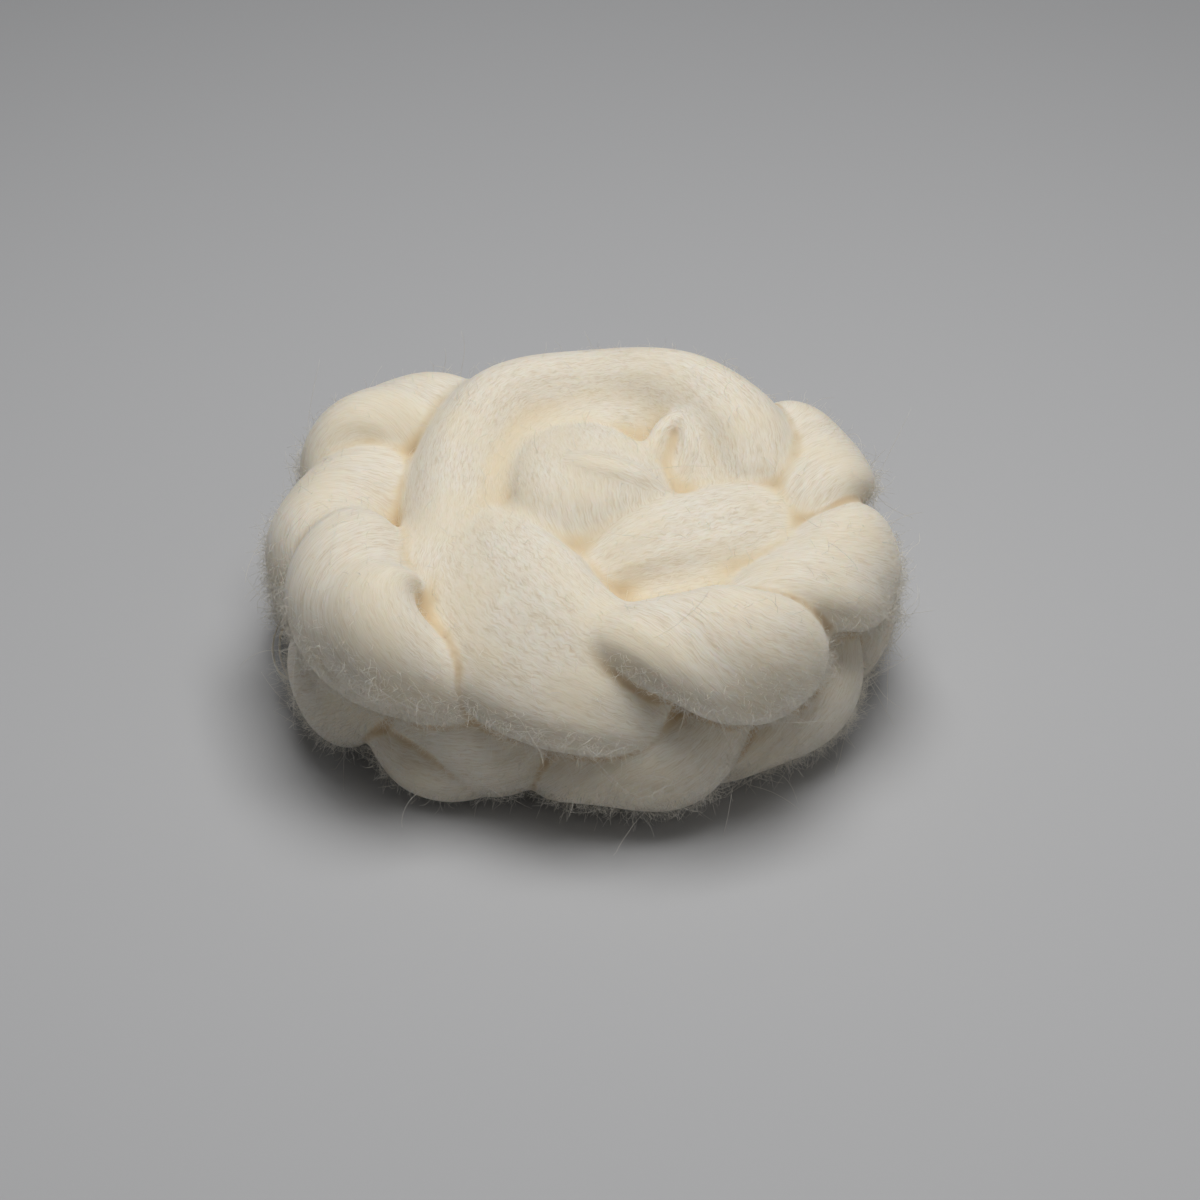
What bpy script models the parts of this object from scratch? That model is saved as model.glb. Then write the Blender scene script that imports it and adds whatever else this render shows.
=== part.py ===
"""A braid of cream wool roving, wound on its edge into a flat round coil.

Three thick untwisted strands are plaited into a band. The band stands on edge and goes once round the coil,
and the loose rest of it is laid over the top in arches that end in a small rolled bun in the middle.
All of it is one continuous piece of wool, so it is one solid with a flat underside.
The front is -Y and up is +Z. The origin is the middle of the underside.
"""

import math

import bmesh
import bpy
from mathutils import Matrix, Vector

MM = 0.001

# The band, seen in its cross-section: "up" runs across its face and "out" points away from the coil's middle.
STRAND_COUNT = 3
BAND_HALF_RISE = 26 * MM  # from the band's middle to a strand's middle at the band's edge
BAND_HALF_DEPTH = 10 * MM  # from the band's middle to a strand's middle on the band's face
BAND_LEAN = math.radians(3)  # the band's upper edge leans outward
CROWN_HALF_WIDTH = 23 * MM  # a strand where it bulges on the band's face
CROWN_HALF_THICK = 16.5 * MM
TUCK_HALF_WIDTH = 15 * MM  # the same strand where it passes between the other two
TUCK_HALF_THICK = 12 * MM
TUCK_SHARPNESS = 6  # a larger power keeps the tuck shorter
ROLL_SHARPNESS = 1.8  # a strand turns over by half a turn, and most of it in the tuck
END_NOSE = 0.06  # share of a strand's length in which each of its ends rounds off

# The folds along the band's upper edge, from the outer end inward. The lower edge's folds lie between them.
FOLD_COLUMNS = ("bearing_deg", "radius_mm", "middle_height_mm")
UPPER_FOLDS = (
    (66, 70, 35),
    (100, 79, 36),
    (136, 87, 40),
    (168, 86, 41),
    (203, 80, 41),
    (250, 67, 41),
    (300, 71, 41),
    (344, 83, 40),
    (383, 86, 42),
    (420, 78, 46),
    (458, 68, 48),
)

# The loose wraps on top: each is a strand through the points (x, y, z), all in millimetres.
WRAP_TILT = 6 / 1000  # how much a wrap's flat side leans outward, for each millimetre from the coil's middle
WRAP_COLUMNS = ("name", "half_width_mm", "half_thick_mm", "route_mm")
WRAPS = (
    (
        "outer_arch", 18, 18,
        ((-32, -30, 56), (-43, -4, 66), (-41, 34, 74), (-25, 62, 77), (6, 73, 79), (36, 67, 80),
         (56, 42, 76), (62, 14, 64)),
    ),
    (
        "inner_arch", 21, 15,
        ((-24, -14, 56), (-27, 12, 66), (-20, 40, 72), (4, 50, 73), (30, 46, 71), (50, 26, 66),
         (50, 0, 63), (30, -20, 61), (4, -27, 58)),
    ),
    (
        "front_drape", 23, 16,
        ((-12, 12, 52), (-22, -14, 67), (-26, -42, 73), (-18, -63, 68), (-2, -71, 56), (12, -70, 46)),
    ),
    ("front_ridge", 12, 10, ((-20, 0, 68), (-6, -14, 69), (7, -28, 69), (19, -44, 64), (24, -52, 56))),
    (
        "bun", 14, 14,
        ((30, 8, 64), (12, 3, 67), (-6, 8, 68), (-9, 24, 71), (4, 35, 73), (17, 26, 73), (8, 16, 74)),
    ),
    (
        "bun_hook", 6, 6,
        ((13, 24, 80), (23, 19, 81), (31, 32, 82), (34, 48, 81), (41, 44, 78), (38, 24, 73), (33, 6, 68)),
    ),
)

CORE_HALF_SIZE = (74 * MM, 62 * MM, 35 * MM)  # the strands' hidden stretches, packed under the wraps
CORE_BELOW = 3 * MM  # how far the core and the lower folds would reach below the underside

RING_POINTS = 20
STATIONS_PER_FOLD = 12
VOXEL = 2.6 * MM
SMOOTH_PASSES = 3
DECIMATE_TO = 7600  # triangles
WOOL_COLOUR = (0.80, 0.74, 0.62, 1)


def smooth_value(values, at):
    """The value of a smooth curve through evenly spaced values, at a place counted in steps."""
    last = len(values) - 1
    at = min(max(at, 0.0), float(last))
    i = min(int(at), last - 1)
    t = at - i
    before, here, after, beyond = (values[min(max(i + k, 0), last)] for k in (-1, 0, 1, 2))
    return 0.5 * (
        2 * here
        + (after - before) * t
        + (2 * before - 5 * here + 4 * after - beyond) * t**2
        + (3 * here - before - 3 * after + beyond) * t**3
    )


def fold_value(column, at):
    values = [row[FOLD_COLUMNS.index(column)] for row in UPPER_FOLDS]
    return smooth_value(values, at)


def rounded_end(share):
    """1 along most of a strand, falling to 0 at both of its ends as a round nose does."""
    from_end = min(share, 1 - share)
    return math.sqrt(max(0.0, 1 - (1 - min(from_end / END_NOSE, 1)) ** 2))


def braid_stations(strand):
    """Middle, flat-side direction, half thickness and half width along one strand of the braid."""
    stations = []
    count = (len(UPPER_FOLDS) - 1) * STATIONS_PER_FOLD
    for step in range(count + 1):
        at = step / STATIONS_PER_FOLD
        bearing = math.radians(fold_value("bearing_deg", at))
        radius = fold_value("radius_mm", at) * MM
        height = fold_value("middle_height_mm", at) * MM
        phase = 2 * math.pi * (at - strand) / STRAND_COUNT + math.pi / 2
        up = BAND_HALF_RISE * math.sin(phase)
        out = -BAND_HALF_DEPTH * math.sin(2 * phase)
        outward = Vector((math.cos(bearing), math.sin(bearing), 0))
        lean = Matrix.Rotation(BAND_LEAN, 3, Vector((0, 0, 1)).cross(outward))
        up_axis = lean @ Vector((0, 0, 1))
        out_axis = lean @ outward
        middle = outward * radius + Vector((0, 0, height)) + up_axis * up + out_axis * out
        turned = math.tanh(ROLL_SHARPNESS * math.cos(phase)) / math.tanh(ROLL_SHARPNESS)
        roll = math.pi / 2 * (1 + turned)
        flat_side = out_axis * math.cos(roll) + up_axis * math.sin(roll)
        tuck = math.cos(phase) ** TUCK_SHARPNESS
        end = rounded_end(step / count)
        thick = (CROWN_HALF_THICK + (TUCK_HALF_THICK - CROWN_HALF_THICK) * tuck) * end
        wide = (CROWN_HALF_WIDTH + (TUCK_HALF_WIDTH - CROWN_HALF_WIDTH) * tuck) * end
        stations.append((middle, flat_side, thick, wide))
    return stations


def wrap_stations(route_mm, half_width, half_thick):
    """The same for a loose wrap, whose flat side faces up and away from the coil's middle."""
    stations = []
    count = (len(route_mm) - 1) * STATIONS_PER_FOLD
    for step in range(count + 1):
        at = step / STATIONS_PER_FOLD
        middle = Vector([smooth_value([point[k] for point in route_mm], at) for k in range(3)]) * MM
        away = Vector((middle.x, middle.y, 0)) * WRAP_TILT / MM
        flat_side = (Vector((0, 0, 1)) + away).normalized()
        end = rounded_end(step / count)
        stations.append((middle, flat_side, half_thick * end, half_width * end))
    return stations


def loft(name, stations):
    """A closed mesh through oval sections, one at each station."""
    mesh = bmesh.new()
    rings = []
    for index, (middle, flat_side, thick, wide) in enumerate(stations):
        before = stations[max(index - 1, 0)][0]
        after = stations[min(index + 1, len(stations) - 1)][0]
        along = (after - before).normalized()
        across = along.cross(flat_side).normalized()
        outward = across.cross(along)
        if min(thick, wide) <= 0:
            rings.append([mesh.verts.new(middle)])
            continue
        angles = [2 * math.pi * k / RING_POINTS for k in range(RING_POINTS)]
        corners = [middle + across * wide * math.cos(a) + outward * thick * math.sin(a) for a in angles]
        rings.append([mesh.verts.new(corner) for corner in corners])
    for first, second in zip(rings, rings[1:]):
        for k in range(RING_POINTS):
            corners = [first[k % len(first)], first[(k + 1) % len(first)],
                       second[(k + 1) % len(second)], second[k % len(second)]]
            mesh.faces.new(list(dict.fromkeys(corners)))
    bmesh.ops.recalc_face_normals(mesh, faces=mesh.faces)
    data = bpy.data.meshes.new(name)
    mesh.to_mesh(data)
    mesh.free()
    return bpy.data.objects.new(name, data)


def core():
    """The packed middle, a flattened ball."""
    mesh = bmesh.new()
    bmesh.ops.create_uvsphere(mesh, u_segments=32, v_segments=16, radius=1)
    bmesh.ops.transform(mesh, matrix=Matrix.Diagonal((*CORE_HALF_SIZE, 1)), verts=mesh.verts)
    bmesh.ops.translate(mesh, vec=(0, 0, CORE_HALF_SIZE[2] - CORE_BELOW), verts=mesh.verts)
    data = bpy.data.meshes.new("core")
    mesh.to_mesh(data)
    mesh.free()
    return bpy.data.objects.new("core", data)


def evaluated_mesh(obj):
    graph = bpy.context.evaluated_depsgraph_get()
    return bpy.data.meshes.new_from_object(obj.evaluated_get(graph))


def joined(name, pieces, collection):
    """One object that holds all the pieces' faces, still as separate shells."""
    mesh = bmesh.new()
    for piece in pieces:
        mesh.from_mesh(piece.data)
    data = bpy.data.meshes.new(name)
    mesh.to_mesh(data)
    mesh.free()
    for piece in pieces:
        bpy.data.objects.remove(piece)
    obj = bpy.data.objects.new(name, data)
    collection.objects.link(obj)
    return obj


def wool_material():
    material = bpy.data.materials.new("cream_wool")
    material.use_nodes = True
    shader = material.node_tree.nodes["Principled BSDF"]
    shader.inputs["Base Color"].default_value = WOOL_COLOUR
    shader.inputs["Roughness"].default_value = 0.9
    shader.inputs["Metallic"].default_value = 0
    return material


def cut_underside(roving, cutters):
    """Gives the coil the flat face that it rests on."""
    side = 2 * (max(row[1] for row in UPPER_FOLDS) * MM + BAND_HALF_DEPTH + CROWN_HALF_THICK)
    depth = 4 * CORE_BELOW
    mesh = bmesh.new()
    bmesh.ops.create_cube(mesh, size=1)
    bmesh.ops.transform(mesh, matrix=Matrix.Diagonal((side, side, depth, 1)), verts=mesh.verts)
    bmesh.ops.translate(mesh, vec=(0, 0, -depth / 2), verts=mesh.verts)
    data = bpy.data.meshes.new("ground_block")
    mesh.to_mesh(data)
    mesh.free()
    block = bpy.data.objects.new("ground_block", data)
    block.hide_render = True
    block.display_type = "WIRE"
    cutters.objects.link(block)
    cut = roving.modifiers.new("flat underside", "BOOLEAN")
    cut.operation = "DIFFERENCE"
    cut.object = block


def apply_modifiers(obj):
    obj.data = evaluated_mesh(obj)
    obj.modifiers.clear()


def keep_outer_skin(obj):
    """Removes the skins of pockets sealed between the strands, which are packed with wool."""
    mesh = bmesh.new()
    mesh.from_mesh(obj.data)
    outermost = max(mesh.verts, key=lambda vert: vert.co.x)
    reached, edge_of_search = {outermost}, [outermost]
    while edge_of_search:
        vert = edge_of_search.pop()
        for edge in vert.link_edges:
            other = edge.other_vert(vert)
            if other not in reached:
                reached.add(other)
                edge_of_search.append(other)
    bmesh.ops.delete(mesh, geom=[vert for vert in mesh.verts if vert not in reached], context="VERTS")
    mesh.to_mesh(obj.data)
    mesh.free()


def centre_over_origin(obj):
    """Moves the mesh so that the middle of its underside's bounding box is the origin."""
    middle = Vector()
    for k in (0, 1):
        places = [vert.co[k] for vert in obj.data.vertices]
        middle[k] = (min(places) + max(places)) / 2
    obj.data.transform(Matrix.Translation(-middle))


def build():
    for obj in list(bpy.data.objects):
        bpy.data.objects.remove(obj)
    collection = bpy.data.collections.new("wool_roving")
    cutters = bpy.data.collections.new("cutters")
    for found in (collection, cutters):
        bpy.context.scene.collection.children.link(found)

    pieces = [loft(f"strand_{i}", braid_stations(i)) for i in range(STRAND_COUNT)]
    for row in WRAPS:
        wrap = dict(zip(WRAP_COLUMNS, row))
        stations = wrap_stations(wrap["route_mm"], wrap["half_width_mm"] * MM, wrap["half_thick_mm"] * MM)
        pieces.append(loft(wrap["name"], stations))
    pieces.append(core())
    roving = joined("roving", pieces, collection)

    remesh = roving.modifiers.new("merge the strands", "REMESH")
    remesh.mode = "VOXEL"
    remesh.voxel_size = VOXEL
    soften = roving.modifiers.new("soften", "SMOOTH")
    soften.iterations = SMOOTH_PASSES
    apply_modifiers(roving)
    keep_outer_skin(roving)

    thin = roving.modifiers.new("thin out", "DECIMATE")
    thin.ratio = DECIMATE_TO / sum(len(face.vertices) - 2 for face in roving.data.polygons)
    cut_underside(roving, cutters)
    apply_modifiers(roving)
    centre_over_origin(roving)
    roving.data.shade_smooth()
    roving.data.materials.append(wool_material())


build()
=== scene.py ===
import math

import bpy
import numpy as np
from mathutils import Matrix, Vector
from mathutils.bvhtree import BVHTree


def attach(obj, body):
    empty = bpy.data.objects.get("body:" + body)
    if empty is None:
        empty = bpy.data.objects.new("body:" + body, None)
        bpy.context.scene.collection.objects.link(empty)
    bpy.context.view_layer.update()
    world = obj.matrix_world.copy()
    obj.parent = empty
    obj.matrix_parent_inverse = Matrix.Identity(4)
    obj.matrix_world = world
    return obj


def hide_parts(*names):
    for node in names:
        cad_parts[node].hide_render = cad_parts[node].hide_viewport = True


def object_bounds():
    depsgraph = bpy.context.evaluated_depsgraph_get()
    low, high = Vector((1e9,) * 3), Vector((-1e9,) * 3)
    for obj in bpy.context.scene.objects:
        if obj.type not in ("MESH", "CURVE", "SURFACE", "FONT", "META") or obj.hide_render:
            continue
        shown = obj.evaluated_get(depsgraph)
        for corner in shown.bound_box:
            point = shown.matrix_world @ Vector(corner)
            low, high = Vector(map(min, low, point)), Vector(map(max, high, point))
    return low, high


# Cream wool roving: a three-strand braid wound on its edge into a coil, with its loose end laid over the top.
# Every strand is a grid rolled up along its route. One skin goes over them all and follows their fibres.
# Sizes in the dictionaries are in millimetres and degrees. The front is -Y.

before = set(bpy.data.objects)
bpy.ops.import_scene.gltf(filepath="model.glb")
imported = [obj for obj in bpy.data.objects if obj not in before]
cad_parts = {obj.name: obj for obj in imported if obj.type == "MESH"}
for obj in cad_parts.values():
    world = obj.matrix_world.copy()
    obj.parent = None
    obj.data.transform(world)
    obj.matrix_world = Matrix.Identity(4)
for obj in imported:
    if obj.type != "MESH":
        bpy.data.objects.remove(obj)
cadLow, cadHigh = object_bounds()
print("frame loaded:", [round(v * 1000, 1) for v in (cadHigh - cadLow)], "mm")

mm = 0.001
underside = cadLow.z
random = np.random.default_rng(41)


def smoothAlong(rows, at):
    # Catmull-Rom through evenly spaced rows, read at places counted in rows
    rows = np.asarray(rows, float)
    last = len(rows) - 1
    at = np.clip(at, 0, last)
    i = np.minimum(at.astype(int), last - 1)
    t = (at - i)[:, None]
    p = [rows[np.clip(i + k, 0, last)] for k in (-1, 0, 1, 2)]
    return 0.5 * (
        2 * p[1] + (p[2] - p[0]) * t
        + (2 * p[0] - 5 * p[1] + 4 * p[2] - p[3]) * t**2
        + (3 * p[1] - p[0] - 3 * p[2] + p[3]) * t**3
    )


def unit(vectors):
    return vectors / np.maximum(np.linalg.norm(vectors, axis=-1, keepdims=True), 1e-12)


def step(x):
    x = np.clip(x, 0, 1)
    return x * x * (3 - 2 * x)


def streaks(along, turn, cellLength, cellsRound, seed):
    # smooth noise from -1 to 1, long along the strand and repeating round it, where turn goes from 0 to 1
    cells = np.random.default_rng(seed).uniform(-1, 1, (int(along.max() / cellLength) + 3, cellsRound))
    x, y = along / cellLength, turn * cellsRound
    i, j = np.floor(x).astype(int), np.floor(y).astype(int)
    f, g = step(x - i), step(y - j)
    j0, j1 = j % cellsRound, (j + 1) % cellsRound
    near = cells[i, j0] * (1 - g) + cells[i, j1] * g
    far = cells[i + 1, j0] * (1 - g) + cells[i + 1, j1] * g
    return near * (1 - f) + far * f


braid = {
    "halfRise": 26,  # from the band's middle to a strand's middle at the band's edge
    "halfDepth": 10,
    "lean": 3,
    "crown": (23, 16.5),  # half width and half thickness where a strand bulges
    "tuck": (15, 12),  # and where it passes between the other two
    "tuckSharpness": 6,
    "rollSharpness": 1.8,
    # the folds along the upper edge: bearing, radius and middle height. Lower folds lie halfway between them.
    "folds": (
        (66, 70, 35), (100, 79, 36), (136, 87, 40), (168, 86, 41), (203, 80, 41), (250, 67, 41),
        (300, 71, 41), (344, 83, 40), (383, 86, 42), (420, 78, 46), (458, 68, 48),
    ),
    # where single folds differ: strand, place, reach, then changes of bearing, rise and out,
    # and the shares of width and thickness
    "oddFolds": (
        (2, 2.0, 0.9, 0, 6, 3, 1.0, 1.0),
        (1, 2.5, 0.9, 0, 4, 8, 1.0, 1.0),
        (0, 3.0, 0.9, 0, -1.5, -0.5, 0.95, 0.95),
        (2, 3.5, 0.9, 4, 5, -1.5, 1.0, 0.95),
        (1, 4.0, 0.9, 0, 0, 1.7, 1.1, 1.05),
        (0, 4.5, 0.9, -2, 6.5, -10, 1.02, 0.92),
        (2, 5.2, 1.2, 0, -9, -16, 0.7, 0.7),
        (0, 5.3, 0.7, 0, -12, -7, 0.85, 0.85),
        (1, 5.5, 0.9, 0, 4.5, -5, 1.0, 0.95),
        (2, 6.5, 0.9, 0, 3.5, -5.7, 0.95, 0.95),
        (1, 7.0, 0.9, 0, -1, 1.2, 0.95, 0.95),
        (2, 8.0, 0.9, 0, 1, 2.7, 1.0, 1.0),
        (0, 7.5, 0.9, 0, 11, 5, 1.0, 1.0),
    ),
    "stationsPerFold": 30,
    "ring": 80,
}


def braidRoute(strand):
    # middle, flat side's direction, half width and half thickness along one strand
    foldCount = len(braid["folds"]) - 1
    at = np.linspace(0, foldCount, foldCount * braid["stationsPerFold"] + 1)
    bearing, radius, height = smoothAlong(braid["folds"], at).T
    rise, out = np.zeros_like(at), np.zeros_like(at)
    wideShare, thickShare = np.ones_like(at), np.ones_like(at)
    for owner, fold, reach, turn, up, away, wider, thicker in braid["oddFolds"]:
        near = (0.5 + 0.5 * np.cos(np.pi * np.clip((at - fold) / reach, -1, 1))) * (owner == strand)
        bearing = bearing + turn * near
        rise, out = rise + up * near, out + away * near
        wideShare, thickShare = wideShare + (wider - 1) * near, thickShare + (thicker - 1) * near
    phase = 2 * np.pi * (at - strand) / 3 + np.pi / 2
    angle = np.radians(bearing)
    outward = np.stack([np.cos(angle), np.sin(angle), np.zeros_like(at)], axis=1)
    lean = math.radians(braid["lean"])
    upAxis = np.array([0, 0, math.cos(lean)]) + outward * math.sin(lean)
    outAxis = outward * math.cos(lean) - np.array([0, 0, math.sin(lean)])
    up = braid["halfRise"] * np.sin(phase) + rise
    away = -braid["halfDepth"] * np.sin(2 * phase) + out
    middle = outward * radius[:, None] + upAxis * up[:, None] + outAxis * away[:, None]
    middle[:, 2] += height
    sharp = braid["rollSharpness"]
    roll = np.pi / 2 * (1 + np.tanh(sharp * np.cos(phase)) / math.tanh(sharp))
    flatSide = outAxis * np.cos(roll)[:, None] + upAxis * np.sin(roll)[:, None]
    tuck = np.cos(phase) ** braid["tuckSharpness"]
    (crownWide, crownThick), (tuckWide, tuckThick) = braid["crown"], braid["tuck"]
    wide = (crownWide + (tuckWide - crownWide) * tuck) * wideShare
    thick = (crownThick + (tuckThick - crownThick) * tuck) * thickShare
    return {"at": at, "middle": middle, "flatSide": flatSide, "thick": thick, "wide": wide,
            "ring": braid["ring"], "fullness": 1}


# Each loose wrap has points of x, y, z, half width and half thickness, and a number of points round it.
# A fullness below 1 makes its section squarer, and a tilt is used in place of wrapTilt.
# middle_pack, core, fan_front, root_fill and left_fill lie under the others and fill their hollows.
wraps = {
    "middle_pack": {
        "points": ((-46, 0, 44, 24, 12), (-20, 2, 48, 40, 17), (20, 4, 49, 42, 17), (50, 6, 44, 26, 12)),
        "ring": 40,
    },
    "core": {
        "points": ((-62, 0, 24, 10, 20), (-50, 0, 24, 38, 23), (0, 0, 24, 58, 24), (50, 0, 24, 42, 23),
                   (64, 0, 24, 10, 20)),
        "ring": 40,
    },
    "outer_arch": {
        "points": ((-53, -48, 46, 9, 8), (-54, -32, 60, 14, 13), (-49, -6, 65, 14, 14),
                   (-44, 34, 73, 15, 16), (-28, 65, 77, 15, 17), (5, 76.5, 77.5, 16, 17),
                   (37, 69, 80.5, 18, 18), (59, 43, 77.5, 18, 18), (64, 18, 64, 17, 16)),
        "ring": 84,
    },
    "inner_arch": {
        "points": ((-24, -14, 58, 12, 12), (-29, 10, 65, 12, 13), (-26, 35, 69, 12, 13),
                   (-12, 53, 71, 13, 13), (8, 61, 72, 14, 14), (32, 55, 72, 15, 14),
                   (46, 36, 70, 16, 14), (50, 16, 63, 16, 14), (48, 0, 52, 14, 12)),
        "ring": 76,
    },
    "fan": {
        "points": ((80, 8, 56, 12, 10), (64, 2, 68, 18, 13), (44, -6, 70, 20, 13), (24, -14, 69, 17, 12),
                   (9, -20, 66, 11, 10), (0, -24, 62, 6, 7), (-7, -28, 57, 4, 5)),
        "ring": 72, "fullness": 0.8,
    },
    "front_drape": {
        "points": ((-28, 42, 48, 12, 8), (-34, 20, 57, 18, 12), (-38, -8, 64, 25, 14), (-27, -38, 63, 33, 17),
                   (-12, -55, 59, 31, 18), (6, -65, 53, 26, 18), (20, -66, 43, 17, 15), (31, -62, 34, 9, 9)),
        "ring": 88, "fullness": 0.85, "tilt": 0.011,
    },
    "upper_ridge": {
        "points": ((-26, 16, 62, 6, 6), (-14, 6, 66, 6, 7), (-2, -8, 66, 6, 7), (8, -18, 64, 5, 6),
                   (15, -26, 58, 4, 5)),
        "ring": 32,
    },
    "lower_ridge": {
        "points": ((-30, 8, 64, 8, 8), (-18, -5, 66, 9, 9), (-7, -19, 65, 9, 9), (4, -31, 61, 8, 9),
                   (14, -40, 54, 7, 8)),
        "ring": 40,
    },
    "bun": {
        "points": ((-2, 54, 62, 10, 8), (-1, 45, 72, 18, 11), (0, 32, 77.5, 24, 12), (3, 16, 79, 26.5, 12),
                   (5, 5, 78, 26.5, 10.5), (6, -1, 75, 25, 9), (7, -4, 69, 22, 8), (8, -6, 60, 12, 7)),
        "ring": 84,
    },
    "bun_ridge": {
        "points": ((-14, 24, 80, 4, 4), (-4, 18, 86.5, 6, 5), (8, 13, 88, 7, 5.5), (20, 10, 83, 7, 7),
                   (30, 9, 72, 6, 6)),
        "ring": 40,
    },
    "hook_base": {
        "points": ((20, 52, 69, 6, 6), (29, 43, 73, 8, 9), (33, 30, 73.5, 8, 8), (33, 14, 65, 8, 8)),
        "ring": 36,
    },
    "fan_front": {
        "points": ((8, -30, 52, 6, 6), (24, -33, 58, 12, 11), (44, -30, 60, 13, 12), (62, -22, 58, 12, 11),
                   (80, -8, 50, 8, 8)),
        "ring": 40,
    },
    "root_fill": {
        "points": ((-9, -52, 60, 6, 6), (3, -61, 60, 11, 10), (15, -67.5, 55, 11, 10), (29, -72, 45, 7, 7)),
        "ring": 32,
    },
    "low_lobe": {
        "points": ((-71, -41, 18, 7, 7), (-62, -51.5, 15, 10, 10), (-54, -57, 13, 12, 12),
                   (-43, -60, 12, 12, 11), (-30, -60, 12, 9, 9)),
        "ring": 40,
    },
    "side_wisp": {
        "points": ((-97, 14, 31, 0.6, 0.5), (-106, 9, 28, 0.7, 0.4), (-110, -2, 22, 0.6, 0.4),
                   (-107, -12, 17, 0.5, 0.4), (-98, -16, 15, 0.4, 0.4)),
        "ring": 12,
    },
    "side_wisp_2": {
        "points": ((-96, 10, 28, 0.5, 0.4), (-105, 4, 27, 0.5, 0.4), (-107, -5, 23, 0.5, 0.3),
                   (-104, -15, 19, 0.4, 0.3), (-97, -20, 12, 0.4, 0.3)),
        "ring": 12,
    },
    "bun_hook": {
        "points": ((16, 38, 70, 2, 2), (21.5, 26, 77, 3, 3), (24, 28, 82.5, 3, 3), (26.8, 37, 86, 3, 3),
                   (32.5, 45, 87.5, 3, 3), (38.4, 40.5, 87, 3, 3), (39.4, 31, 84.5, 3, 3),
                   (36.5, 22.5, 78, 3, 3), (32, 20, 70, 2, 2)),
        "ring": 24,
    },
    "left_fill": {
        "points": ((-65, -8, 52, 7, 9), (-69, 6, 54, 9, 12), (-66, 20, 52, 7, 9)),
        "ring": 32,
    },
}
wrapTilt = 0.006  # how much a wrap's flat side leans outward for each millimetre from the coil's middle
wrapStep = 2.3  # between its sections


def wrapRoute(wrap):
    rows = np.asarray(wrap["points"], float)
    gaps = np.linalg.norm(np.diff(rows[:, :3], axis=0), axis=1)
    count = int(gaps.sum() / wrapStep)
    at = np.linspace(0, len(rows) - 1, count)
    values = smoothAlong(rows, at)
    middle = values[:, :3]
    tilt = wrap.get("tilt", wrapTilt)
    flatSide = unit(np.stack([middle[:, 0] * tilt, middle[:, 1] * tilt, np.ones(count)], axis=1))
    return {"at": at, "middle": middle, "flatSide": flatSide, "wide": values[:, 3], "thick": values[:, 4],
            "ring": wrap["ring"], "fullness": wrap.get("fullness", 1)}


surface = {
    "nose": 0.05,  # share of a strand's length in which each end rounds off
    # uneven swells and grooves: cell length, cells round, depth
    "swells": ((34, 5, 0.9), (26, 11, 0.25), (20, 24, 0.1)),
    "outerDensity": 0.45,  # sections have more points on their outer side
    "creaseEnds": 0.7,  # how fast a crease runs out at its ends
    "lip": (0.3, 2.4),  # the raised lip beside a crease: height and width, as shares of the crease's
}


def shapeStrand(name, route, seed, creases=()):
    # the strand's surface as a grid of stations by ring points, with its fibre coordinates, all in metres
    middle = route["middle"]
    along = unit(np.gradient(middle, axis=0))
    across = unit(np.cross(along, route["flatSide"]))
    outward = np.cross(across, along)
    length = np.concatenate([[0], np.cumsum(np.linalg.norm(np.diff(middle, axis=0), axis=1))])
    share = length / length[-1]
    fromEnd = np.minimum(share, 1 - share) / surface["nose"]
    end = np.sqrt(np.clip(1 - (1 - np.minimum(fromEnd, 1)) ** 2, 0, 1))
    turn = np.linspace(0, 1, route["ring"] + 1)
    angle = -np.pi / 2 + 2 * np.pi * turn + surface["outerDensity"] * np.sin(2 * np.pi * turn)
    u, t = np.meshgrid(length, turn, indexing="ij")
    _, a = np.meshgrid(length, angle, indexing="ij")
    swell = np.zeros_like(u)
    for k, (cellLength, cellsRound, depth) in enumerate(surface["swells"]):
        swell += depth * streaks(u, t, cellLength, cellsRound, seed * 10 + k)
    for first, last, sideFirst, sideLast, depth, halfWidth in creases:
        place = np.clip((route["at"] - first) / (last - first), 0, 1)
        inside = (route["at"] > first) & (route["at"] < last)
        inside = np.sin(np.pi * place) ** surface["creaseEnds"] * inside
        side = np.radians(90 + sideFirst + (sideLast - sideFirst) * place)
        size = (route["wide"] + route["thick"]) / 2
        x = (a - side[:, None]) * size[:, None] / halfWidth
        lipHeight, lipWidth = surface["lip"]
        swell += inside[:, None] * depth * (-np.exp(-x**2) + lipHeight * np.exp(-(x / lipWidth) ** 2))
    swell *= np.clip(np.minimum(t, 1 - t) * 12, 0, 1)  # none at the seam
    wide = (route["wide"][:, None] + swell) * end[:, None]
    thick = (route["thick"][:, None] + swell) * end[:, None]
    fuller = route["fullness"]
    c, d = np.cos(a), np.sin(a)
    points = (
        middle[:, None]
        + across[:, None] * (wide * np.sign(c) * np.abs(c) ** fuller)[..., None]
        + outward[:, None] * (thick * np.sign(d) * np.abs(d) ** fuller)[..., None]
    )
    size = (route["wide"] + route["thick"]).max() / 2
    return {"name": name, "points": points * mm, "u": u * mm, "v": a * size * mm}


# creases along a strand: from and to which place, on which side from and to, depth, half width
creaseTables = {
    "fan": ((1.2, 6.5, 10, 22, 1.5, 2.2), (2.2, 6.5, -28, -10, 1.2, 2.0)),
    "braid_strand_1": ((4.05, 4.95, -84, -98, 2.6, 3.0), (5.7, 6.6, -66, -84, 0.8, 2.4),
                       (5.8, 6.7, -100, -112, 0.7, 2.0)),
    "braid_strand_2": ((5.1, 5.95, -80, -95, 1.0, 2.4), (3.7, 4.5, -60, -80, 0.7, 2.4)),
    "braid_strand_3": ((6.1, 6.9, -90, -100, 2.0, 3.0),),
}

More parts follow.
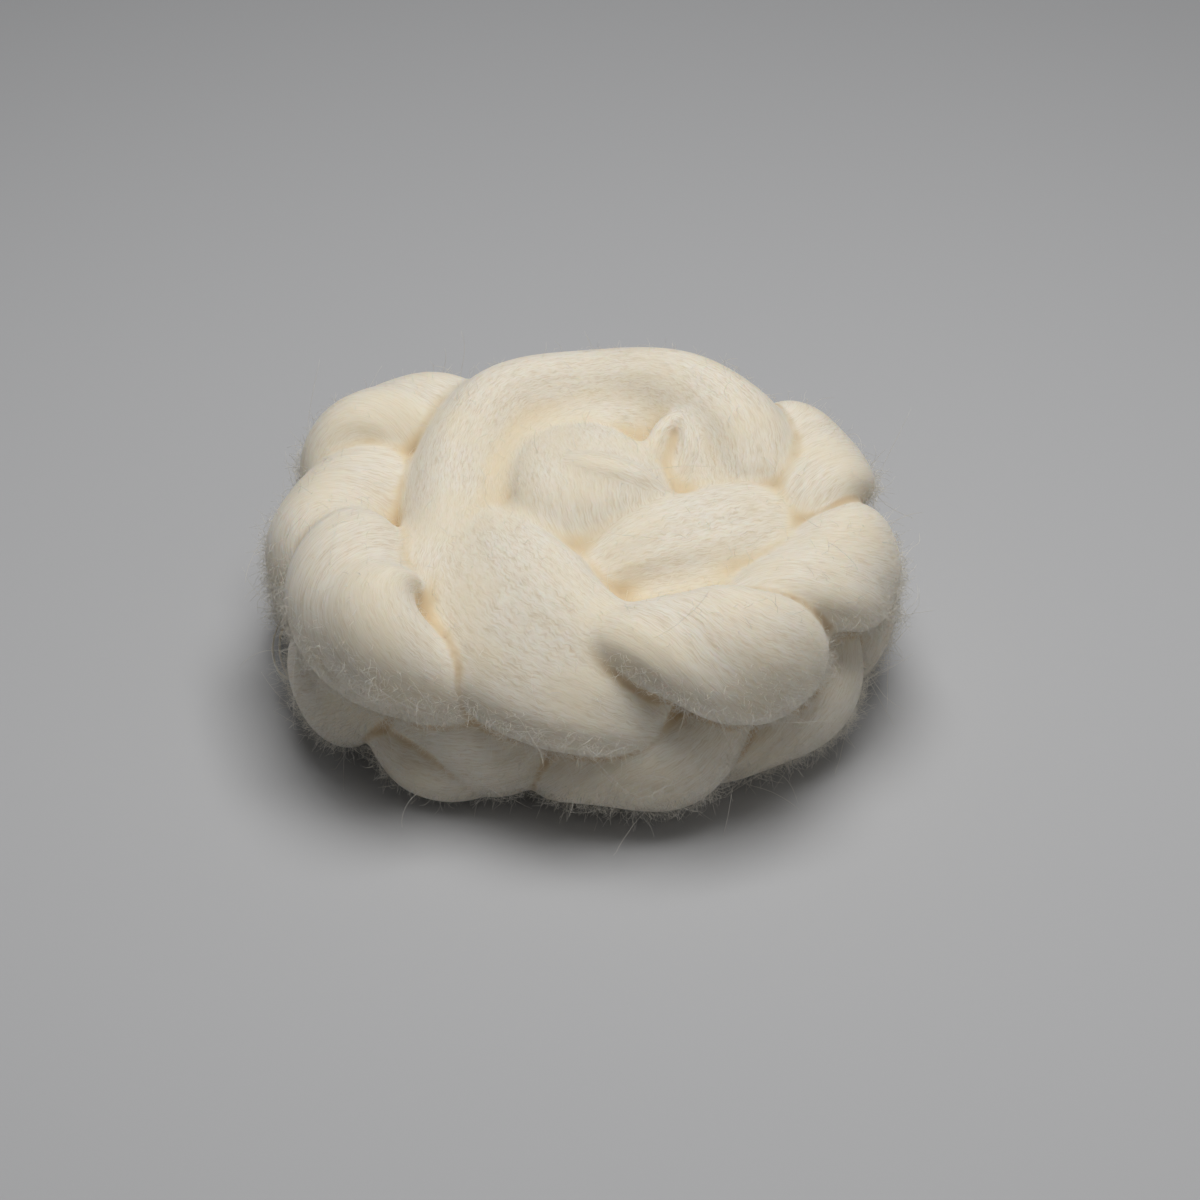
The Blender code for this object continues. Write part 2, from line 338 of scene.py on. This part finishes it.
strands = []
for k in range(3):
    name = f"braid_strand_{k + 1}"
    strands.append(shapeStrand(name, braidRoute(k), seed=k + 1, creases=creaseTables[name]))
for k, (name, wrap) in enumerate(wraps.items()):
    strands.append(shapeStrand(name, wrapRoute(wrap), seed=k + 11, creases=creaseTables.get(name, ())))

# The coil goes to the middle of the part's box, and is pressed flat where it rests.
low = np.min([s["points"].min(axis=(0, 1)) for s in strands], axis=0)
high = np.max([s["points"].max(axis=(0, 1)) for s in strands], axis=0)
shift = np.array((cadLow + cadHigh) / 2) - (low + high) / 2
shift[2] = 0
clearance = 0.15 * mm
for s in strands:
    s["points"] = s["points"] + shift
    s["points"][..., 2] = np.maximum(s["points"][..., 2], underside + clearance)
print("strands shaped:", len(strands), "shift", np.round(shift / mm, 2))


# One skin goes over the thick strands. Its valleys are filled softly in the top and stay narrow at the front.
skinning = {
    "voxel": 1.47,
    "thin": ("side_wisp", "side_wisp_2"),  # too thin for the skin, so they stay on their own
    "settleRounds": 2, "settleShare": 0.5,  # these take the voxels' steps away
    "fillRounds": 24, "firmest": 0.03,  # the firmest places take this share of each round
    "hollowDepth": 0.01,  # a hollow this deep takes its full share
    "carry": (-4, 5),  # how far past a strand's quad its fibres carry on, in quads
    # rounds of smoothing that the painted shade of valleys and creases measures a hollow against, and the
    # depth that takes the full painted shade
    "valleyRounds": 28, "valleyDepth": 1.3,
    "creaseRounds": 4, "creaseDepth": 0.35,
    # where the skin is soft: from and to which height, from and to which radius
    "softHeights": (48, 72), "softMiddle": (92, 50),
    # less so at the back left: its share, then where it starts and over what distance, in x and in y
    "backLeft": (0.6, 10, 50, -45, 40),
    "softSpots": ((-16, -50, 66, 24), (25, -24, 66, 30), (66, -30, 68, 24), (8, -62, 60, 24),
                  (84, -46, 48, 16), (-57, -28, 60, 16)),  # x, y, z, radius
}


def softAt(points):
    # from 0 at the firm front to 1 in the soft top
    x, y, z = (points / mm).T
    low, high = skinning["softHeights"]
    outer, inner = skinning["softMiddle"]
    soft = step((z - low) / (high - low)) * step((outer - np.hypot(x, y)) / (outer - inner))
    share, fromX, overX, fromY, overY = skinning["backLeft"]
    left = share * step((fromX - x) / overX) * step((y - fromY) / overY)
    for a, b, c, radius in skinning["softSpots"]:
        away = np.sqrt((x - a) ** 2 + (y - b) ** 2 + (z - c) ** 2)
        soft = np.maximum(soft, step(2 - 2 * away / radius))
    return np.maximum(soft, left)


def valuesOf(items, field, width, kind):
    # one field of a mesh's items as an array
    values = np.empty(len(items) * width, kind)
    items.foreach_get(field, values)
    return values


def rollUp(s):
    # a grid primitive laid on the strand's surface, closed along its seam and at its two ends
    rows, columns = s["points"].shape[:2]
    bpy.ops.object.select_all(action="DESELECT")
    bpy.ops.mesh.primitive_grid_add(x_subdivisions=rows - 1, y_subdivisions=columns - 1, size=2)
    piece = bpy.context.active_object
    piece.name = s["name"]
    mesh = piece.data
    mesh.name = s["name"]
    flat = valuesOf(mesh.vertices, "co", 3, np.float32).reshape(-1, 3)
    i = np.rint((flat[:, 0] + 1) / 2 * (rows - 1)).astype(int)
    j = np.rint((flat[:, 1] + 1) / 2 * (columns - 1)).astype(int)
    mesh.vertices.foreach_set("co", s["points"][i, j].astype(np.float32).ravel())
    corner = valuesOf(mesh.loops, "vertex_index", 1, np.int32)
    layer = mesh.uv_layers[0]
    layer.name = "fibres"
    places = np.stack([s["u"][i, j][corner], s["v"][i, j][corner]], axis=1)
    layer.data.foreach_set("uv", places.astype(np.float32).ravel())
    bpy.ops.object.mode_set(mode="EDIT")
    bpy.ops.mesh.select_all(action="SELECT")
    bpy.ops.mesh.remove_doubles(threshold=1e-5)
    bpy.ops.mesh.normals_make_consistent(inside=False)
    bpy.ops.object.mode_set(mode="OBJECT")
    bpy.ops.object.shade_smooth()
    return piece


def nearestQuads(places, pieces):
    # for each place, the nearest quad of the strands: its corner, its two sides and its fibre coordinates
    corners, faces, first, table = [], [], 0, []
    for s in pieces:
        p, u, v = s["points"], s["u"], s["v"]
        rows, columns = u.shape
        corners.append(p.reshape(-1, 3))
        i, j = np.meshgrid(np.arange(rows - 1), np.arange(columns - 1), indexing="ij")
        a = (first + i * columns + j).ravel()
        faces.append(np.stack([a, a + 1, a + columns + 1, a + columns], axis=1))
        first += rows * columns
        corner = p[:-1, :-1]
        table.append(np.concatenate([
            corner, p[1:, :-1] - corner, p[:-1, 1:] - corner,
            np.stack([u[:-1, :-1], u[1:, :-1] - u[:-1, :-1], v[:-1, :-1], v[:-1, 1:] - v[:-1, :-1]], axis=-1),
        ], axis=-1).reshape(-1, 13))
    tree = BVHTree.FromPolygons(np.concatenate(corners).tolist(), np.concatenate(faces).tolist())
    found = [tree.find_nearest(place)[2] for place in places.tolist()]
    return np.concatenate(table)[found]


def quadNormals(points, quads):
    p = points[quads]
    faces = np.cross(p[:, 2] - p[:, 0], p[:, 3] - p[:, 1])
    index = quads.ravel()
    sums = [np.bincount(index, np.repeat(faces[:, k], 4), len(points)) for k in range(3)]
    return unit(np.stack(sums, axis=1))


def unionOf(pieces):
    # points, quads and edges of the strands' union, remeshed evenly
    objects = [rollUp(s) for s in pieces]
    bpy.ops.object.select_all(action="DESELECT")
    for piece in objects:
        piece.select_set(True)
    bpy.context.view_layer.objects.active = objects[0]
    bpy.ops.object.join()
    union = bpy.context.active_object
    bpy.ops.object.modifier_add(type="REMESH")
    remesh = union.modifiers[-1]
    remesh.mode = "VOXEL"
    remesh.voxel_size = skinning["voxel"] * mm
    remesh.adaptivity = 0
    bpy.ops.object.modifier_apply(modifier=remesh.name)
    mesh = union.data
    points = valuesOf(mesh.vertices, "co", 3, np.float32).reshape(-1, 3).astype(float)
    quads = valuesOf(mesh.loops, "vertex_index", 1, np.int32).reshape(-1, 4)
    edges = valuesOf(mesh.edges, "vertices", 2, np.int32).reshape(-1, 2)
    bpy.data.objects.remove(union)
    bpy.data.meshes.remove(mesh)
    return points, quads, edges


def fibrePlaces(points, quads, near):
    # the fibre coordinates of each quad's corners, carried on from the nearest quad of the strands
    nearest, furthest = skinning["carry"]
    corner, along, across = near[:, None, 0:3], near[:, None, 3:6], near[:, None, 6:9]
    offset = points[quads] - corner
    x, y = (offset * along).sum(-1), (offset * across).sum(-1)
    xx, yy, xy = (along**2).sum(-1), (across**2).sum(-1), (along * across).sum(-1)
    size = np.maximum(xx * yy - xy**2, 1e-20)
    u = near[:, None, 9] + near[:, None, 10] * np.clip((x * yy - y * xy) / size, nearest, furthest)
    v = near[:, None, 11] + near[:, None, 12] * np.clip((y * xx - x * xy) / size, nearest, furthest)
    return np.stack([u, v], axis=-1)


def makeSkin(pieces):
    # the filled union: its mesh, its fibres' coordinates and directions, and the depths of its hollows
    points, quads, edges = unionOf(pieces)
    near = nearestQuads(points[quads].mean(axis=1), pieces)
    fibres = fibrePlaces(points, quads, near)
    count, (a, b) = len(points), edges.T
    neighbours = np.bincount(edges.ravel(), minlength=count)[:, None]

    def average(values):
        total = [np.bincount(a, values[b, k], count) + np.bincount(b, values[a, k], count) for k in range(3)]
        return np.stack(total, axis=1) / neighbours

    for _ in range(skinning["settleRounds"]):
        points = points + skinning["settleShare"] * (average(points) - points)
    amount = skinning["firmest"] + (1 - skinning["firmest"]) * softAt(points)
    for k in range(skinning["fillRounds"]):
        if k % 4 == 0:  # often enough for normals that change slowly
            normals = quadNormals(points, quads)
        pull = average(points) - points
        hollow = np.clip((pull * normals).sum(axis=1) / (skinning["hollowDepth"] * mm), 0, 1)
        points = points + pull * (amount * hollow)[:, None]
    points[:, 2] = np.maximum(points[:, 2], underside + clearance)
    normals = quadNormals(points, quads)
    # how deep each place lies in a valley or crease: these depths set where warm and brown shade is painted
    # on the wool, and keep hairs out of deep creases
    depths, smoothed = {}, points
    for k in range(1, skinning["valleyRounds"] + 1):
        smoothed = average(smoothed)
        for name in ("crease", "valley"):
            if k == skinning[name + "Rounds"]:
                depth = ((smoothed - points) * normals).sum(axis=1) / (skinning[name + "Depth"] * mm)
                depths[name] = np.clip(depth, 0, 1)
    return {"points": points, "quads": quads, "normals": normals, "fibres": fibres,
            "ways": unit(near[:, 3:6]), **depths}


skin = makeSkin([s for s in strands if s["name"] not in skinning["thin"]])
print("skin made:", len(skin["quads"]), "quads")


def newMaterial(name):
    material = bpy.data.materials.new(name)
    material.use_nodes = True
    return material, material.node_tree.nodes, material.node_tree.links


def fillRamp(ramp, stops):
    elements = ramp.color_ramp.elements
    while len(elements) < len(stops):
        elements.new(0.5)
    for element, (position, colour) in zip(elements, stops):
        element.position = position
        element.color = (*colour, 1)


woolLook = {
    "light": (0.88, 0.83, 0.73), "cream": (0.83, 0.765, 0.645), "shade": (0.72, 0.63, 0.49),
    # valley: painted warm shade, a tan laid into the skin's broad hollows where less light reaches
    "valley": (0.83, 0.71, 0.49), "valleyShare": 0.85,
    # crease: painted brown shade in the deep narrow creases between the lobes
    "crease": (0.62, 0.46, 0.28), "creaseShare": 0.8,
    "warm": (0.85, 0.76, 0.58), "warmShare": 0.5, "warmSpread": 38,
    # where the painted shade of valleys and creases and the warm patches start, as shares of their depth or
    # noise
    "valleyFrom": 0.1, "creaseFrom": 0.15, "warmFrom": (0.4, 0.7),
    # noise along and across the fibres, in cells a metre, and how much of each goes into the tone
    "fine": (260, 1700), "locks": (60, 560), "bands": (24, 130), "toneShares": (0.8, 0.3, 0.25),
    "toneStops": (0.50, 0.66, 0.80),
    "crimpCells": (500, 300), "crimp": 0.0017,  # the fibres' sway from side to side, in metres
    "roughness": 0.8, "sheen": 0.25, "sheenRoughness": 0.45, "specular": 0.25,
    "subsurface": 0.6, "subsurfaceScale": 0.005, "subsurfaceRadius": (1.0, 0.75, 0.5),
    "fineBump": 0.2, "lockBump": 0.8, "bumpDistance": 0.0005,
}


def woolMaterial():
    material, nodes, links = newMaterial("combed wool")
    shader = nodes["Principled BSDF"]
    shader.inputs["Roughness"].default_value = woolLook["roughness"]
    shader.inputs["Sheen Weight"].default_value = woolLook["sheen"]
    shader.inputs["Sheen Roughness"].default_value = woolLook["sheenRoughness"]
    shader.inputs["Subsurface Weight"].default_value = woolLook["subsurface"]
    shader.inputs["Subsurface Scale"].default_value = woolLook["subsurfaceScale"]
    shader.inputs["Subsurface Radius"].default_value = woolLook["subsurfaceRadius"]
    shader.inputs["Specular IOR Level"].default_value = woolLook["specular"]

    uv = nodes.new("ShaderNodeUVMap")
    uv.uv_map = "fibres"
    sway = nodes.new("ShaderNodeTexNoise")
    swayMap = nodes.new("ShaderNodeMapping")
    swayMap.inputs["Scale"].default_value = (*woolLook["crimpCells"], 1)
    links.new(uv.outputs["UV"], swayMap.inputs["Vector"])
    links.new(swayMap.outputs["Vector"], sway.inputs["Vector"])
    sway.inputs["Scale"].default_value = 1
    sway.inputs["Detail"].default_value = 1
    swayed = nodes.new("ShaderNodeVectorMath")
    swayed.operation = "MULTIPLY_ADD"
    swayed.inputs[1].default_value = (0, woolLook["crimp"], 0)
    links.new(sway.outputs["Color"], swayed.inputs[0])
    links.new(uv.outputs["UV"], swayed.inputs[2])

    def fibreNoise(name):
        scaled = nodes.new("ShaderNodeMapping")
        scaled.inputs["Scale"].default_value = (*woolLook[name], 1)
        links.new(swayed.outputs["Vector"], scaled.inputs["Vector"])
        texture = nodes.new("ShaderNodeTexNoise")
        texture.inputs["Scale"].default_value = 1
        texture.inputs["Detail"].default_value = 2
        texture.inputs["Roughness"].default_value = 0.6
        links.new(scaled.outputs["Vector"], texture.inputs["Vector"])
        return texture.outputs["Fac"]

    def scaledAdd(value, share, other=None):
        # value times share, plus the other
        node = nodes.new("ShaderNodeMath")
        node.operation = "MULTIPLY" if other is None else "MULTIPLY_ADD"
        node.inputs[1].default_value = share
        links.new(value, node.inputs[0])
        if other is not None:
            links.new(other, node.inputs[2])
        return node.outputs[0]

    fine, locks, bands = fibreNoise("fine"), fibreNoise("locks"), fibreNoise("bands")
    fineShare, lockShare, bandShare = woolLook["toneShares"]
    tone = scaledAdd(fine, fineShare, scaledAdd(locks, lockShare, scaledAdd(bands, bandShare)))
    ramp = nodes.new("ShaderNodeValToRGB")
    colours = [woolLook[name] for name in ("shade", "cream", "light")]
    fillRamp(ramp, list(zip(woolLook["toneStops"], colours)))
    links.new(tone, ramp.inputs["Fac"])

    def tinted(colour, tint, factor):
        mix = nodes.new("ShaderNodeMix")
        mix.data_type = "RGBA"
        links.new(factor, mix.inputs["Factor"])
        links.new(colour, mix.inputs[6])
        mix.inputs[7].default_value = (*tint, 1)
        return mix.outputs[2]

    def ranged(value, low, high, most):
        # 0 below low, rising smoothly to the most at high
        spread = nodes.new("ShaderNodeMapRange")
        spread.interpolation_type = "SMOOTHSTEP"
        links.new(value, spread.inputs["Value"])
        for name, number in (("From Min", low), ("From Max", high), ("To Min", 0), ("To Max", most)):
            spread.inputs[name].default_value = number
        return spread.outputs["Result"]

    def stored(name):
        attribute = nodes.new("ShaderNodeAttribute")
        attribute.attribute_name = name
        return attribute.outputs["Fac"]

    # soft warmer patches, then painted warm shade in the valleys, then painted brown shade in the deep
    # creases
    where = nodes.new("ShaderNodeTexCoord")
    patches = nodes.new("ShaderNodeTexNoise")
    patches.inputs["Scale"].default_value = woolLook["warmSpread"]
    patches.inputs["Detail"].default_value = 1
    links.new(where.outputs["Object"], patches.inputs["Vector"])
    warmth = ranged(patches.outputs["Fac"], *woolLook["warmFrom"], woolLook["warmShare"])
    colour = tinted(ramp.outputs["Color"], woolLook["warm"], warmth)
    for name in ("valley", "crease"):
        strength = ranged(stored(name), woolLook[name + "From"], 1, woolLook[name + "Share"])
        colour = tinted(colour, woolLook[name], strength)
    links.new(colour, shader.inputs["Base Color"])

    bump = nodes.new("ShaderNodeBump")
    bump.inputs["Strength"].default_value = woolLook["fineBump"]
    bump.inputs["Distance"].default_value = woolLook["bumpDistance"]
    links.new(scaledAdd(locks, woolLook["lockBump"], fine), bump.inputs["Height"])
    links.new(bump.outputs["Normal"], shader.inputs["Normal"])
    return material


hairLook = {"colour": (0.88, 0.84, 0.75), "roughness": 0.55, "sheen": 0.2, "specular": 0.35}


def hairMaterial():
    material, nodes, _ = newMaterial("loose wool hairs")
    shader = nodes["Principled BSDF"]
    shader.inputs["Base Color"].default_value = (*hairLook["colour"], 1)
    shader.inputs["Roughness"].default_value = hairLook["roughness"]
    shader.inputs["Sheen Weight"].default_value = hairLook["sheen"]
    shader.inputs["Specular IOR Level"].default_value = hairLook["specular"]
    return material


wool = woolMaterial()
hairs = hairMaterial()


def place(piece, material):
    piece.data.materials.clear()
    piece.data.materials.append(material)
    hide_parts("roving")
    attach(piece, "root")


def makeMesh(name, points, faces, sizes, material):
    # an object made from points, the corners of all its faces and each face's number of corners
    mesh = bpy.data.meshes.new(name)
    mesh.vertices.add(len(points))
    mesh.vertices.foreach_set("co", points.astype(np.float32).ravel())
    mesh.loops.add(len(faces))
    mesh.loops.foreach_set("vertex_index", faces.astype(np.int32))
    mesh.polygons.add(len(sizes))
    mesh.polygons.foreach_set("loop_start", (np.cumsum(sizes) - sizes).astype(np.int32))
    mesh.polygons.foreach_set("use_smooth", np.ones(len(sizes), bool))
    mesh.update(calc_edges=True)
    piece = bpy.data.objects.new(name, mesh)
    bpy.context.scene.collection.objects.link(piece)
    place(piece, material)
    return piece


quadSizes = np.full(len(skin["quads"]), 4)
piece = makeMesh("wool_skin", skin["points"], skin["quads"].ravel(), quadSizes, wool)
layer = piece.data.uv_layers.new(name="fibres")
layer.data.foreach_set("uv", skin["fibres"].astype(np.float32).ravel())
# the depths of valleys and creases go with the skin, for the shade painted in them
for name in ("crease", "valley"):
    attribute = piece.data.attributes.new(name, "FLOAT", "POINT")
    attribute.data.foreach_set("value", skin[name].astype(np.float32))
for s in strands:
    if s["name"] in skinning["thin"]:
        place(rollUp(s), wool)
print("pieces made")


# counts and segments a piece, lengths and radius, and how far hairs curl and how steeply they leave the skin
hairKinds = {
    "fuzz": {
        "pieces": 2, "count": 12000, "length": (1.5, 5), "segments": 2, "radius": 0.05,
        "curl": 0.6, "rise": (0.7, 2.5),
    },
    "flyaway": {
        "pieces": 1, "count": 9600, "length": (4, 10), "segments": 3, "radius": 0.055,
        "curl": 0.8, "rise": (0.5, 1.8),
    },
    "stray": {
        "pieces": 1, "count": 400, "length": (12, 34), "segments": 9, "radius": 0.065,
        "curl": 0.4, "rise": (0.1, 0.6),
    },
}
rooting = {
    "fewerOnTop": 0.97, "upward": (-0.3, 0.9),  # from which upward tilt of the skin on, and over what change
    "deepest": 0.6,  # none deeper in a crease
    "lowest": 7,  # above the underside
    "sideways": 0.5, "droop": 0.12, "jitter": 0.6,
    "sunk": 0.2,  # the root's depth in the skin
    "room": 8,  # how far past the part's box a hair may reach
    "taper": (0.35, 0.65),  # shares of the radius: all along, and added in the middle
}


def looseHairs(kind):
    # hairs that leave the skin and curl away from it
    count, segments = kind["count"], kind["segments"]
    p, n = skin["points"][skin["quads"]], skin["normals"][skin["quads"]]
    area = np.linalg.norm(np.cross(p[:, 2] - p[:, 0], p[:, 3] - p[:, 1]), axis=1)
    seen = skin["crease"][skin["quads"]].max(axis=1) < rooting["deepest"]
    seen &= p[..., 2].min(axis=1) > underside + rooting["lowest"] * mm
    tiltFrom, tiltOver = rooting["upward"]
    upward = step((n[:, 0, 2] - tiltFrom) / tiltOver)
    weights = area * seen * (1 - rooting["fewerOnTop"] * upward)
    chosen = random.choice(len(weights), count, p=weights / weights.sum())
    f, g = random.random((count, 1)), random.random((count, 1))
    shares = ((1 - f) * (1 - g), f * (1 - g), f * g, (1 - f) * g)
    roots = sum(p[chosen, k] * share for k, share in enumerate(shares))
    normals = unit(sum(n[chosen, k] * share for k, share in enumerate(shares)))
    ways = skin["ways"][chosen] * random.choice([-1, 1], count)[:, None]
    side = np.cross(normals, ways)
    sideways, rising = random.normal(0, rooting["sideways"], count), random.uniform(*kind["rise"], count)
    heading = unit(ways + side * sideways[:, None] + normals * rising[:, None])
    bend = random.normal(0, kind["curl"], (count, 3)) - normals * rooting["droop"]
    stepLength = random.uniform(*kind["length"], count) * mm / segments
    paths = [roots - normals * rooting["sunk"] * mm]
    for _ in range(segments):
        paths.append(paths[-1] + heading * stepLength[:, None])
        change = bend + random.normal(0, kind["curl"] * rooting["jitter"], (count, 3))
        heading = unit(heading + change / segments * 2)
    paths = np.stack(paths, axis=1)
    room = rooting["room"] * mm
    low, high = np.array(cadLow) - room, np.array(cadHigh) + room
    low[2] = underside + rooting["sunk"] * mm
    return np.clip(paths, low, high)


def hairMesh(name, paths, radius):
    # closed three-sided tubes along the paths, thinner at their ends, as one mesh
    count, stations = paths.shape[:2]
    along = unit(np.gradient(paths, axis=1))
    first = unit(np.cross(along, unit(np.array([0.31, 0.52, 0.79]))))  # any slanting direction does
    second = np.cross(along, first)
    least, added = rooting["taper"]
    thin = least + added * np.sin(np.pi * np.linspace(0.08, 0.92, stations))
    angles = np.radians([90, 210, 330])
    ring = first[:, :, None] * np.cos(angles)[:, None] + second[:, :, None] * np.sin(angles)[:, None]
    points = paths[:, :, None] + ring * (radius * mm * thin)[None, :, None, None]
    points[..., 2] = np.maximum(points[..., 2], underside + 0.05 * mm)
    base = (np.arange(count) * stations * 3)[:, None, None]
    k = (np.arange(stations - 1) * 3)[None, :, None]
    side = np.arange(3)[None, None, :]
    nextSide = (side + 1) % 3
    near, far = base + k, base + k + 3
    quads = np.stack([near + side, near + nextSide, far + nextSide, far + side], axis=-1)
    start = base[:, 0] + np.array([[2, 1, 0]])
    finish = base[:, 0] + (stations - 1) * 3 + np.array([[0, 1, 2]])
    quads, caps = quads.reshape(-1, 4), np.concatenate([start, finish])
    faces = np.concatenate([quads.ravel(), caps.ravel()])
    sizes = np.concatenate([np.full(len(quads), 4), np.full(len(caps), 3)])
    return makeMesh(name, points.reshape(-1, 3), faces, sizes, hairs)


for name, kind in hairKinds.items():
    for k in range(kind["pieces"]):
        hairMesh(f"{name}_hairs_{k + 1}", looseHairs(kind), kind["radius"])
print("hairs made")
shapes = [o.data for o in bpy.data.objects if o.type == "MESH" and o.data.polygons]
print("triangles:", sum(len(shape.loops) - 2 * len(shape.polygons) for shape in shapes))


studio = {
    "floor": (0.52, 0.525, 0.54), "floorSize": 6, "floorRoughness": 0.9,
    "world": (0.55, 0.57, 0.60), "worldStrength": 0.12,
    "lights": (
        # name, place, size, watts, colour
        ("window", (0.07, 0.02, 1.15), 0.7, 10, (1.0, 0.99, 0.97)),
        ("fill", (0.8, -0.6, 0.7), 0.8, 0.6, (1.0, 0.98, 0.95)),
    ),
    "aimHeight": 47, "elevation": 36, "distance": 1.1, "viewWidth": 0.424, "shift": (0.0167, -0.0125),
    "sensor": 36,
}

bpy.ops.object.select_all(action="DESELECT")
bpy.ops.mesh.primitive_plane_add(size=studio["floorSize"], location=(0, 0, underside))
floor = bpy.context.active_object
floor.name = "floor"
floorMaterial, floorNodes, _ = newMaterial("pale floor")
floorNodes["Principled BSDF"].inputs["Base Color"].default_value = (*studio["floor"], 1)
floorNodes["Principled BSDF"].inputs["Roughness"].default_value = studio["floorRoughness"]
floor.data.materials.append(floorMaterial)

world = bpy.data.worlds.new("studio")
bpy.context.scene.world = world
world.use_nodes = True
world.node_tree.nodes["Background"].inputs["Color"].default_value = (*studio["world"], 1)
world.node_tree.nodes["Background"].inputs["Strength"].default_value = studio["worldStrength"]

for name, location, size, watts, colour in studio["lights"]:
    bpy.ops.object.light_add(type="AREA", location=location)
    light = bpy.context.active_object
    light.name = name
    light.data.size = size
    light.data.energy = watts
    light.data.color = colour
    light.rotation_mode = "QUATERNION"
    light.rotation_quaternion = (-Vector(location)).to_track_quat("-Z", "Y")

elevation = math.radians(studio["elevation"])
back = Vector((0, -math.cos(elevation), math.sin(elevation)))
aim = Vector((float(shift[0]), float(shift[1]), studio["aimHeight"] * mm))
bpy.ops.object.camera_add(location=aim + back * studio["distance"])
camera = bpy.context.active_object
camera.rotation_mode = "QUATERNION"
camera.rotation_quaternion = (-back).to_track_quat("-Z", "Y")
camera.data.sensor_width = studio["sensor"]
camera.data.lens = studio["sensor"] * studio["distance"] / studio["viewWidth"]
camera.data.shift_x, camera.data.shift_y = studio["shift"]
bpy.context.scene.camera = camera
bpy.context.scene.view_settings.view_transform = "Standard"
bpy.ops.object.select_all(action="DESELECT")
